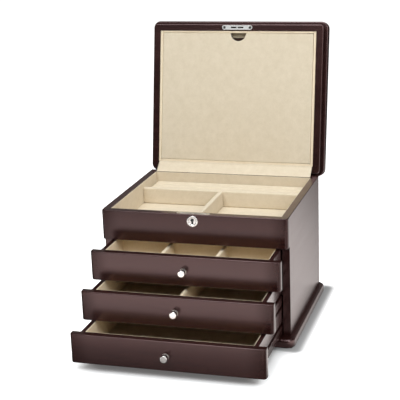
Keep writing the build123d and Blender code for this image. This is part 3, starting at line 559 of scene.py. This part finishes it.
def cloth_piece(name, body, node, mesh, transform):
    """A padded, cloth-covered piece that stands for a CAD node; in the drawers and the lid it takes the
    lighter cream, painted light for their shaded insides.
    """
    look = "lining" if body in ("chest", "lid_panel") else "painted_light_lining"
    piece = finish_mesh(name, mesh, looks[look], transform)
    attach(piece, body)
    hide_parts(node)
    return piece


def covered_board(name, body, node, low, high, seed, transform=None, step=LINER_STEP, radius=LINER_EDGE_R):
    """A thin board wrapped in cloth."""
    mesh = puff(rounded_block(low, high, radius, step), LINER_CROWN, LINER_RIPPLE, seed)
    return cloth_piece(name, body, node, mesh, transform)


def wall_places(low, high, wall, front_wall, front_top, back_name="back"):
    """Lowest and highest corners of the four upright boards that line a tray or frame."""
    inner_x = high.x - wall
    front, back = low.y + front_wall, high.y - wall
    return {
        "left": (low, Vector((-inner_x, high.y, high.z))),
        "right": (Vector((inner_x, low.y, low.z)), high),
        "front": (Vector((-inner_x, low.y, low.z)), Vector((inner_x, front, front_top))),
        back_name: (Vector((-inner_x, back, low.z)), Vector((inner_x, high.y, high.z))),
    }


def tray_boards(prefix, body, node, front_node, seed):
    """Floor and four upright boards of a cloth-lined drawer, the front one nearly as high as its front."""
    low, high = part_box(node)
    front_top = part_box(front_node)[1].z - FRONT_CLOTH_DROP
    walls = wall_places(low, high, LINER_T, LINER_T, front_top)
    floor_low = Vector((walls["front"][0].x, walls["front"][1].y, low.z))
    floor_high = Vector((walls["back"][1].x, walls["back"][0].y, low.z + LINER_T))
    places = {"floor": (floor_low, floor_high)} | walls
    for i, (side, (a, b)) in enumerate(places.items()):
        covered_board(f"{prefix}_{side}", body, node, a, b, seed + i)


def padded_bar(name, body, node, low, high, radius, seed, crown=PAD_CROWN, step=PAD_STEP):
    """A bar of foam wrapped in cloth, with round edges."""
    mesh = puff(rounded_block(low, high, radius, step), crown, PAD_RIPPLE, seed, PAD_RIPPLE_PITCH)
    return cloth_piece(name, body, node, mesh, None)


# Soft pieces


def make_well_linings():
    low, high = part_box("well_lining_walls")
    places = wall_places(low, high, LINER_T, LINER_T, high.z)
    for i, (side, (a, b)) in enumerate(places.items()):
        covered_board(f"well_liner_{side}", "chest", "well_lining_walls", a, b, SEEDS["well"] + i)
    low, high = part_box("well_lining_floor")
    covered_board("well_floor_pad", "chest", "well_lining_floor", low, high, SEEDS["well_floor"])


def make_well_dividers():
    for name, node, radius, seed in (
        ("well_long_divider_padded", "well_divider_long", LONG_DIVIDER_R, "long_divider"),
        ("well_middle_divider_padded", "well_divider_mid", MIDDLE_DIVIDER_R, "middle_divider"),
    ):
        low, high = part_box(node)
        padded_bar(name, "chest", node, low, high, radius, SEEDS[seed])


def make_ring_rolls():
    low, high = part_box("ring_rolls")
    pitch = (high.y - low.y + ROLL_GAP) / ROLL_COUNT
    for i in range(ROLL_COUNT):
        front = low.y + i * pitch
        a = Vector((low.x, front, low.z))
        b = Vector((high.x, front + pitch - ROLL_GAP, high.z))
        name, seed = f"ring_roll_{i + 1}", SEEDS["rolls"] + i
        padded_bar(name, "chest", "ring_rolls", a, b, ROLL_R, seed, ROLL_CROWN, ROLL_STEP)


def drawer_divider(name, drawer, low, high, seed):
    """One padded divider of a drawer; all of a drawer's dividers are one CAD node."""
    padded_bar(name, drawer, f"{drawer}_dividers", low, high, DRAWER_DIVIDER_R, SEEDS[seed])


def make_drawer_insides():
    for i, name in enumerate(("top", "middle", "bottom")):
        drawer = f"drawer_{name}"
        seed = SEEDS["drawers"] + DRAWER_SEED_STEP * i
        tray_boards(f"{drawer}_liner", drawer, f"{drawer}_lining", f"{drawer}_front", seed)
    low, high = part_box("drawer_middle_dividers")
    drawer_divider("drawer_middle_divider_padded", "drawer_middle", low, high, "drawer_middle_divider")
    low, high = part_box("drawer_top_dividers")
    cross_y = high.y - DRAWER_DIVIDER_T
    cross_low = Vector((low.x, cross_y, low.z))
    drawer_divider("drawer_top_cross_divider", "drawer_top", cross_low, high, "drawer_top_cross")
    half = DRAWER_DIVIDER_T / 2
    free_w = high.x * 2 - (TOP_DRAWER_PARTS - 1) * DRAWER_DIVIDER_T
    middle = free_w / (2 * TOP_DRAWER_PARTS) + half
    for side, x in (("left", -middle), ("right", middle)):
        a = Vector((x - half, low.y, low.z))
        b = Vector((x + half, cross_y, high.z))
        drawer_divider(f"drawer_top_{side}_divider", "drawer_top", a, b, "drawer_top_sides")


def make_lid_linings():
    low, high = closed_box("lid_lining")
    places = wall_places(low, high, LID_RING_W, LID_RING_FRONT_W, high.z, "rear")
    for i, (side, (a, b)) in enumerate(places.items()):
        name, seed = f"lid_liner_{side}", SEEDS["lid_ring"] + i
        covered_board(name, "lid", "lid_lining", a, b, seed, LID_OPEN, LID_RING_STEP, LID_RING_EDGE_R)
    low, high = closed_box("lid_recess_lining")
    strip_end = closed_box("lid_panel")[0].y + RECESS_STRIP_W
    strip_high = Vector((high.x, strip_end, high.z))
    covered_board(
        "lid_recess_strip", "lid", "lid_recess_lining", low, strip_high, SEEDS["recess_strip"], LID_OPEN,
        radius=RECESS_STRIP_EDGE_R,
    )
    # The board behind the panel is dark brown, so the recess looks dark through the notch
    board_low = Vector((low.x, strip_end, low.z + RECESS_BOARD_DROP))
    board_mesh = rounded_block(board_low, high, RECESS_BOARD_EDGE_R, RECESS_BOARD_STEP)
    board = finish_mesh("lid_recess_board", board_mesh, looks["card"], LID_OPEN)
    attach(board, "lid")
    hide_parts("lid_recess_lining")


def make_lid_panel():
    """Cloth-covered board with a half-moon notch, cut so that its dark brown board shows there."""
    low, high = closed_box("lid_panel")
    cloth = Vector((PANEL_CLOTH, PANEL_CLOTH, 0.0))
    block = rounded_block(low - cloth, high + cloth, PANEL_EDGE_R, PANEL_STEP)
    mesh = puff(block, PANEL_CROWN, PANEL_RIPPLE, SEEDS["panel"], PANEL_RIPPLE_PITCH)
    piece = cloth_piece("lid_panel_padded", "lid_panel", "lid_panel", mesh, None)
    piece.parent = None  # free of its body while the notch is cut
    piece.data.materials.append(looks["card"])
    cutter = bmesh.new()
    bmesh.ops.create_cone(
        cutter, cap_ends=True, segments=NOTCH_SIDES, radius1=NOTCH_R, radius2=NOTCH_R, depth=NOTCH_CUT_DEPTH
    )
    cutter.transform(Matrix.Translation((NOTCH_X, low.y, low.z)))
    tool = finish_mesh("notch_tool", cutter, looks["card"])
    cut = piece.modifiers.new("notch", "BOOLEAN")
    cut.operation = "DIFFERENCE"
    cut.solver = "EXACT"
    cut.material_mode = "TRANSFER"
    cut.object = tool
    bpy.context.view_layer.update()
    cut_mesh = bpy.data.meshes.new_from_object(piece.evaluated_get(bpy.context.evaluated_depsgraph_get()))
    piece.modifiers.clear()
    piece.data = cut_mesh
    for face in cut_mesh.polygons:
        reach = (face.center.xy - Vector((NOTCH_X, low.y))).length
        if abs(reach - NOTCH_R) < NOTCH_WALL_REACH and abs(face.normal.z) < NOTCH_WALL_TILT:
            face.material_index = 1
    piece.data.transform(LID_OPEN)
    bpy.data.objects.remove(tool)
    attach(piece, "lid_panel")


def fold_line(start, end, pin, turn, rows):
    """Points from start to end, bowed by the pin's distance and the lid's turn, nearly level in the middle.
    """
    chord = end - start
    length = chord.length
    along = chord.normalized()
    away = (pin - start) - along * (pin - start).dot(along)
    away.normalize()
    distance = abs((pin - (start + end) / 2).dot(away))
    line = []
    for i in range(rows + 1):
        t = i / rows
        share = t * t * (3 - 2 * t)
        angle = (0.5 - share) * turn
        if abs(angle) < FOLD_LEVEL_ANGLE:
            depth = distance * FOLD_LEVEL_SHARE
        else:
            depth = (0.5 - t) * length / math.tan(angle)
        line.append(start + chord * t + away * (distance - depth))
    return line


def make_hinge_cloth():
    """Cloth strip from the rear liner board's top over the hinge line to the lid's liner."""
    low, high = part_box("hinge_flap")
    liner_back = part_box("well_lining_walls")[1].y
    ring_low, ring_high = closed_box("lid_lining")
    start = Vector((0.0, liner_back - LINER_T * 0.5, HINGE_AT.z - FLAP_START_DROP))
    end = LID_OPEN @ Vector((0.0, ring_high.y - FLAP_END_INSET[0], ring_low.z - FLAP_END_INSET[1]))
    pin = Vector((0.0, HINGE_AT.y, HINGE_AT.z))
    line = fold_line(start, end, pin, LID_ANGLE, FLAP_ROWS)
    mesh = bmesh.new()
    grid = []
    for i, point in enumerate(line):
        row = []
        for j in range(FLAP_COLUMNS + 1):
            x = low.x + (high.x - low.x) * j / FLAP_COLUMNS
            t = i / FLAP_ROWS
            place = Vector((x * FLAP_RIPPLE_RATE[0], t * FLAP_RIPPLE_RATE[1], FLAP_RIPPLE_RATE[2]))
            ripple = FLAP_RIPPLE * math.sin(math.pi * t) * noise.noise(place)
            row.append(mesh.verts.new((x, point.y - ripple, point.z + ripple)))
        grid.append(row)
    for i in range(FLAP_ROWS):
        for j in range(FLAP_COLUMNS):
            mesh.faces.new((grid[i][j], grid[i][j + 1], grid[i + 1][j + 1], grid[i + 1][j]))
    mesh.normal_update()
    piece = finish_mesh("hinge_cloth", mesh, looks["lining"])
    thick = piece.modifiers.new("thickness", "SOLIDIFY")
    thick.thickness = FLAP_T
    thick.offset = 0.0
    bpy.context.view_layer.update()
    piece.data = bpy.data.meshes.new_from_object(piece.evaluated_get(bpy.context.evaluated_depsgraph_get()))
    piece.modifiers.clear()
    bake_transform(piece)
    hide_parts("hinge_flap")


def make_felt():
    """Felt sheet under the foot, its lower side flat where the chest rests."""
    low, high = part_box("base_felt")
    mesh = puff(rounded_block(low, high, FELT_EDGE_R, FELT_STEP), 0.0, FELT_RIPPLE, SEEDS["felt"])
    for v in mesh.verts:
        v.co.z = max(v.co.z, low.z)
    piece = finish_mesh("base_felt_sheet", mesh, looks["felt"])
    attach(piece, "chest")
    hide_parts("base_felt")


# Finish of the pieces that stay as they are


def soften_edges(piece, width):
    """Joins the split corners and rounds the sharp edges a little."""
    weld = piece.modifiers.new("weld", "WELD")
    weld.merge_threshold = WELD_REACH
    bevel = piece.modifiers.new("round", "BEVEL")
    bevel.width = width
    bevel.segments = 2
    bevel.limit_method = "ANGLE"
    bevel.angle_limit = math.radians(SHARP_DEG)
    bevel.harden_normals = True
    bevel.use_clamp_overlap = True


WOODEN = {
    "wood_x": ("base_plinth", "back_panel"),
    "wood_front": ("front_panel", "drawer_top_front", "drawer_middle_front", "drawer_bottom_front"),
    "wood_y": ("side_panel_left", "side_panel_right"),
    "wood_box": ("drawer_top_sides", "drawer_middle_sides", "drawer_bottom_sides"),
    "wood_lid": ("lid_frame", "lid_top"),
    "inner": (
        "bottom_board", "well_floor_board", "drawer_runners", "drawer_top_back", "drawer_middle_back",
        "drawer_bottom_back", "drawer_top_bottom", "drawer_middle_bottom", "drawer_bottom_bottom",
        "lid_panel_stops", "necklace_rail",
    ),
}
METAL = {
    "nickel": (
        "lock_escutcheon", "lid_strike_screws", "lock_plate_screws", "lid_catch_magnets",
        "drawer_top_knob", "drawer_middle_knob", "drawer_bottom_knob",
    ),
    "satin": ("lock_top_plate", "lid_strike_plate"),
    "steel": ("lock_claw", "hinge_pins", "panel_catch_discs", "lid_panel_pivots"),
    "dark_steel": ("lock_case", "lock_post"),
    "brass": (
        "hinge_body_leaves", "hinge_lid_leaves", "hinge_body_screws", "hinge_lid_screws", "necklace_hooks",
    ),
}


def set_look(node, look):
    """Puts one look on every material slot of a CAD node."""
    data = nodes[node].data
    if not data.materials:
        data.materials.append(looks[look])
    for i in range(len(data.materials)):
        data.materials[i] = looks[look]


def finish_cad_nodes():
    """Gives each CAD node that stays its finish, and the wooden ones soft edges."""
    for look, names in WOODEN.items():
        for node in names:
            set_look(node, look)
            soften_edges(nodes[node], WOOD_EDGE)
    for look, names in METAL.items():
        for node in names:
            set_look(node, look)


# Stage, light and camera


def glossy_or_clear(tree):
    """The Light Path node, and a node that is 1 for the rays that reflections and glass see."""
    path = tree.nodes.new("ShaderNodeLightPath")
    either = add_node(tree, "ShaderNodeMath", operation="MAXIMUM")
    link_chain(tree, (path, "Is Glossy Ray", either, 0), (path, "Is Transmission Ray", either, 1))
    return path, either


def choose(tree, low, high, factor_node, factor_output):
    """Number that goes from low to high with a factor; either may be a node's output."""
    pick = add_node(tree, "ShaderNodeMix", data_type="FLOAT")
    tree.links.new(factor_node.outputs[factor_output], pick.inputs["Factor"])
    for socket, value in (("A", low), ("B", high)):
        if isinstance(value, (int, float)):
            pick.inputs[socket].default_value = value
        else:
            tree.links.new(value, pick.inputs[socket])
    return pick


def distance_outside(tree, coords, low, high):
    """Distance on the floor from an upright rectangle, and 0 inside it."""
    centre = tuple((a + b) / 2 for a, b in zip(low, high))
    half = tuple((b - a) / 2 for a, b in zip(low, high))
    offset = add_node(tree, "ShaderNodeVectorMath", {1: (*centre, 0.0)}, operation="SUBTRACT")
    spread = add_node(tree, "ShaderNodeVectorMath", operation="ABSOLUTE")
    beyond = add_node(tree, "ShaderNodeVectorMath", {1: (*half, 0.0)}, operation="SUBTRACT")
    outside = add_node(tree, "ShaderNodeVectorMath", {1: (0.0, 0.0, 0.0)}, operation="MAXIMUM")
    length = add_node(tree, "ShaderNodeVectorMath", operation="LENGTH")
    link_chain(
        tree,
        (coords, "Object", offset, 0),
        (offset, "Vector", spread, 0),
        (spread, "Vector", beyond, 0),
        (beyond, "Vector", outside, 0),
        (outside, "Vector", length, 0),
    )
    return length


def fading(tree, distance, reach, start):
    """A level that rises from start to 1 over a stretch of distances."""
    level = eased(tree, {"From Min": reach[0], "From Max": reach[1], "To Min": start, "To Max": 1.0})
    link_chain(tree, (distance, "Value", level, "Value"))
    return level


def painted_floor_reflection(tree, coords, by_foot, under_drawers, front_y):
    """Painted reflection on the floor: how bright reflections see it, a painted glow in front and at the
    right, and painted shade behind the side panel, under the drawers and at the foot.
    """
    parts = tree.nodes.new("ShaderNodeSeparateXYZ")
    ahead = add_node(
        tree, "ShaderNodeMapRange", {"From Min": front_y - MIRROR_START, "From Max": front_y - MIRROR_END}
    )
    span = MIRROR_END - MIRROR_START
    stops = [((place - MIRROR_START) / span, (level, level, level)) for place, level in MIRROR_LEVELS]
    profile = colour_ramp(tree, stops)
    profile.color_ramp.interpolation = "EASE"
    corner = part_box("side_panel_right")[1]
    line = corner.x - MIRROR_SLANT * corner.y
    beside = add_node(tree, "ShaderNodeVectorMath", {1: (1.0, -MIRROR_SLANT, 0.0)}, operation="DOT_PRODUCT")
    right = eased(tree, {"From Min": line + MIRROR_BEHIND[0], "From Max": line + MIRROR_BEHIND[1]})
    clear = eased(tree, {"From Min": 0.0, "From Max": MIRROR_UNDER_FADE})
    painted_foot_shadow = fading(tree, by_foot, MIRROR_FOOT_SHADOW, MIRROR_PAINTED_FOOT_SHADE)
    open_right = add_node(tree, "ShaderNodeMath", operation="MULTIPLY")
    lit_right = add_node(tree, "ShaderNodeMath", operation="MULTIPLY")
    front_end = front_y - MIRROR_FRONT_FADE
    front = add_node(tree, "ShaderNodeMapRange", {"From Min": front_y, "From Max": front_end})
    either = add_node(tree, "ShaderNodeMath", operation="MAXIMUM")
    darkest = MIRROR_SHADE * MIRROR_PEAK
    shade = add_node(tree, "ShaderNodeMapRange", {"To Min": darkest, "To Max": MIRROR_PEAK})
    level = add_node(tree, "ShaderNodeMath", operation="MULTIPLY")
    link_chain(
        tree,
        (coords, "Object", parts, "Vector"),
        (parts, "Y", ahead, "Value"),
        (ahead, "Result", profile, "Fac"),
        (coords, "Object", beside, 0),
        (beside, "Value", right, "Value"),
        (under_drawers, "Value", clear, "Value"),
        (right, "Result", open_right, 0),
        (clear, "Result", open_right, 1),
        (open_right, "Value", lit_right, 0),
        (painted_foot_shadow, "Result", lit_right, 1),
        (parts, "Y", front, "Value"),
        (lit_right, "Value", either, 0),
        (front, "Result", either, 1),
        (either, "Value", shade, "Value"),
        (profile, "Color", level, 0),
        (shade, "Result", level, 1),
    )
    return level


def make_floor():
    """Pale floor that the camera sees as white apart from the object's soft shadow, partly cast by the lamps
    and partly painted by distance from the foot and the drawers.
    """
    mesh = bmesh.new()
    bmesh.ops.create_grid(mesh, x_segments=1, y_segments=1, size=FLOOR_SIZE)
    material = bpy.data.materials.new("white_floor")
    material.use_nodes = True
    tree = material.node_tree
    tree.nodes.clear()
    output = tree.nodes.new("ShaderNodeOutputMaterial")
    matt = tree.nodes.new("ShaderNodeBsdfDiffuse")
    glow = tree.nodes.new("ShaderNodeEmission")
    both = tree.nodes.new("ShaderNodeAddShader")
    path, mirror_ray = glossy_or_clear(tree)
    coords = tree.nodes.new("ShaderNodeTexCoord")
    foot_low, foot_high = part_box("base_plinth")
    drawer_low, drawer_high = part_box("drawer_bottom_front")
    by_foot = distance_outside(tree, coords, foot_low.xy, foot_high.xy)
    by_drawers = distance_outside(tree, coords, drawer_low.xy, (drawer_high.x, foot_low.y))
    inset = Vector((DRAWER_SHADOW_INSET, DRAWER_SHADOW_INSET))
    shadow_high = (drawer_high.x - DRAWER_SHADOW_INSET, foot_low.y)
    by_shadow = distance_outside(tree, coords, drawer_low.xy + inset, shadow_high)
    # Painted shadow: the camera's white glow fades out near the foot and under the pulled-out drawers
    painted_foot_shadow = fading(tree, by_foot, FOOT_SHADOW, 0.0)
    painted_drawer_shadow = fading(tree, by_shadow, DRAWER_SHADOW, DRAWER_SHADOW_GLOW)
    painted_shadow_level = add_node(tree, "ShaderNodeMath", operation="MINIMUM")
    link_chain(tree, (painted_foot_shadow, "Result", painted_shadow_level, 0), (painted_drawer_shadow, "Result", painted_shadow_level, 1))
    painted_reflection_level = painted_floor_reflection(tree, coords, by_foot, by_drawers, drawer_low.y)
    camera_glow = add_node(tree, "ShaderNodeMath", operation="MULTIPLY")
    painted_reflection_glow = add_node(tree, "ShaderNodeMath", operation="MULTIPLY")
    total = add_node(tree, "ShaderNodeMath", operation="ADD")
    # Painted shade: the floor's matt tone for the camera is darker near the foot
    painted_foot_shade = fading(tree, by_foot, PAINTED_FOOT_SHADE_REACH, PAINTED_FOOT_SHADE_START)
    matt_tone = choose(tree, FLOOR_TONE, painted_foot_shade.outputs["Result"], path, "Is Camera Ray")
    tone = choose(tree, matt_tone.outputs["Result"], FLOOR_MIRROR_TONE, mirror_ray, "Value")
    tint = add_node(tree, "ShaderNodeMix", {"A": WHITE, "B": ROOM_TINT}, data_type="RGBA")
    link_chain(
        tree,
        (painted_shadow_level, "Value", camera_glow, 0),
        (path, "Is Camera Ray", camera_glow, 1),
        (mirror_ray, "Value", painted_reflection_glow, 0),
        (painted_reflection_level, "Value", painted_reflection_glow, 1),
        (camera_glow, "Value", total, 0),
        (painted_reflection_glow, "Value", total, 1),
        (total, "Value", glow, "Strength"),
        (mirror_ray, "Value", tint, "Factor"),
        (tint, "Result", glow, "Color"),
        (tone, "Result", matt, "Color"),
        (matt, "BSDF", both, 0),
        (glow, "Emission", both, 1),
        (both, "Shader", output, "Surface"),
    )
    floor = finish_mesh("floor", mesh, material)
    floor.location.z = -FLOOR_DROP


def make_world():
    """White for the camera; for reflections, a painted room with a dim front, a pale back and a bright band
    at the right.
    """
    world = bpy.data.worlds.new("white_room")
    bpy.context.scene.world = world
    world.use_nodes = True
    tree = world.node_tree
    back = tree.nodes["Background"]
    path, mirror_ray = glossy_or_clear(tree)
    coords = tree.nodes.new("ShaderNodeTexCoord")
    parts = tree.nodes.new("ShaderNodeSeparateXYZ")
    behind = eased(
        tree, {"From Min": ROOM_TURN[0], "From Max": ROOM_TURN[1], "To Min": ROOM_FRONT, "To Max": ROOM_BACK}
    )
    low_down = eased(
        tree, {"From Min": ROOM_LOW_UP, "From Max": ROOM_HIGH_UP, "To Min": 1.0, "To Max": ROOM_HIGH_SHARE}
    )
    at_right = eased(
        tree, {"From Min": ROOM_RIGHT[0], "From Max": ROOM_RIGHT[1], "To Max": ROOM_RIGHT_PAINTED_GLOW}
    )
    both = add_node(tree, "ShaderNodeMath", operation="ADD")
    painted_room_reflection = add_node(tree, "ShaderNodeMath", operation="MULTIPLY")
    link_chain(
        tree,
        (coords, "Generated", parts, "Vector"),
        (parts, "Y", behind, "Value"),
        (parts, "Z", low_down, "Value"),
        (parts, "X", at_right, "Value"),
        (behind, "Result", both, 0),
        (at_right, "Result", both, 1),
        (both, "Value", painted_room_reflection, 0),
        (low_down, "Result", painted_room_reflection, 1),
    )
    mirrored = choose(tree, ROOM_LIGHT, painted_room_reflection.outputs["Value"], mirror_ray, "Value")
    shown = choose(tree, mirrored.outputs["Result"], 1.0, path, "Is Camera Ray")
    warm = add_node(tree, "ShaderNodeMix", {"A": AMBIENT_TINT, "B": ROOM_TINT}, data_type="RGBA")
    white = add_node(tree, "ShaderNodeMix", {"B": WHITE}, data_type="RGBA")
    link_chain(
        tree,
        (mirror_ray, "Value", warm, "Factor"),
        (warm, "Result", white, "A"),
        (path, "Is Camera Ray", white, "Factor"),
        (white, "Result", back, "Color"),
        (shown, "Result", back, "Strength"),
    )


def area_light(name, place, target, size, power):
    """A rectangular soft lamp turned towards its target."""
    data = bpy.data.lights.new(name, "AREA")
    data.shape = "RECTANGLE"
    data.size, data.size_y = size
    data.energy = power
    data.color = LAMP_TINT
    lamp = bpy.data.objects.new(name, data)
    bpy.context.scene.collection.objects.link(lamp)
    lamp.location = place
    lamp.rotation_euler = (Vector(target) - Vector(place)).to_track_quat("-Z", "Y").to_euler()


def make_lights():
    for lamp in LAMPS:
        area_light(*lamp)


def make_camera():
    """The photograph's camera, turned about its line of sight by its roll."""
    azimuth, elevation = math.radians(CAMERA_AZIMUTH), math.radians(CAMERA_ELEVATION)
    roll = math.radians(CAMERA_ROLL)
    back = Vector(
        (
            math.sin(azimuth) * math.cos(elevation),
            -math.cos(azimuth) * math.cos(elevation),
            math.sin(elevation),
        )
    )
    level = (-back).cross(Vector((0, 0, 1))).normalized()
    upright = level.cross(-back)
    right = level * math.cos(roll) + upright * math.sin(roll)
    up = upright * math.cos(roll) - level * math.sin(roll)
    data = bpy.data.cameras.new("photo_camera")
    data.sensor_width = CAMERA_SENSOR
    data.lens = CAMERA_LENS
    camera = bpy.data.objects.new("photo_camera", data)
    bpy.context.scene.collection.objects.link(camera)
    camera.matrix_world = Matrix(
        (
            (right.x, up.x, back.x, CAMERA_AT[0]),
            (right.y, up.y, back.y, CAMERA_AT[1]),
            (right.z, up.z, back.z, CAMERA_AT[2]),
            (0, 0, 0, 1),
        )
    )
    bpy.context.scene.camera = camera


finish_cad_nodes()
make_well_linings()
make_well_dividers()
make_ring_rolls()
make_drawer_insides()
make_lid_linings()
make_lid_panel()
make_hinge_cloth()
make_felt()
make_floor()
make_world()
make_lights()
make_camera()
bpy.context.scene.view_settings.view_transform = "Standard"
